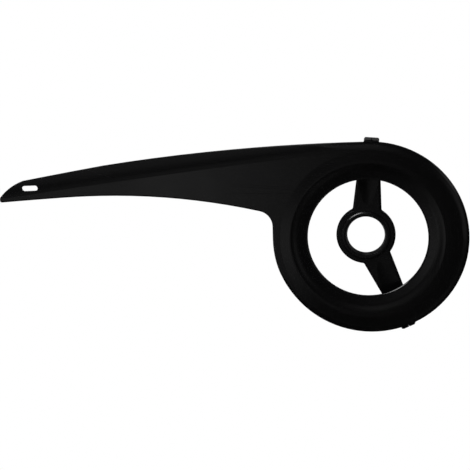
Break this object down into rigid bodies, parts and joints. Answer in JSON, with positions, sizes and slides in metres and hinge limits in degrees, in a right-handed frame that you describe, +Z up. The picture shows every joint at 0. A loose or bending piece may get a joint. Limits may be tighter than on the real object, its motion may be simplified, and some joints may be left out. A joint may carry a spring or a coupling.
{
  "type": "bicycle chain guard",
  "caption": "Moulded plastic chain guard: domed ring round the chainring, long tapering tail with a slot at its tip, and a clip-on bracket that is clamped under the bottom-bracket cup.",
  "frame": {"origin": "on the axis of the bottom-bracket bore, at the back face of the bracket's hub", "axes": "+X towards the front of the bicycle, away from the tail; +Z up; the outboard face looks along -Y and +Y points to the frame"},
  "size_m": [0.4431, 0.0195, 0.186],
  "materials": {
    "guard_plastic": "glossy black moulding",
    "bracket_plastic": "glossy black moulding"
  },
  "bodies": {
    "root": {"guard": "guard_plastic", "bracket": "bracket_plastic"}
  },
  "joints": []
}
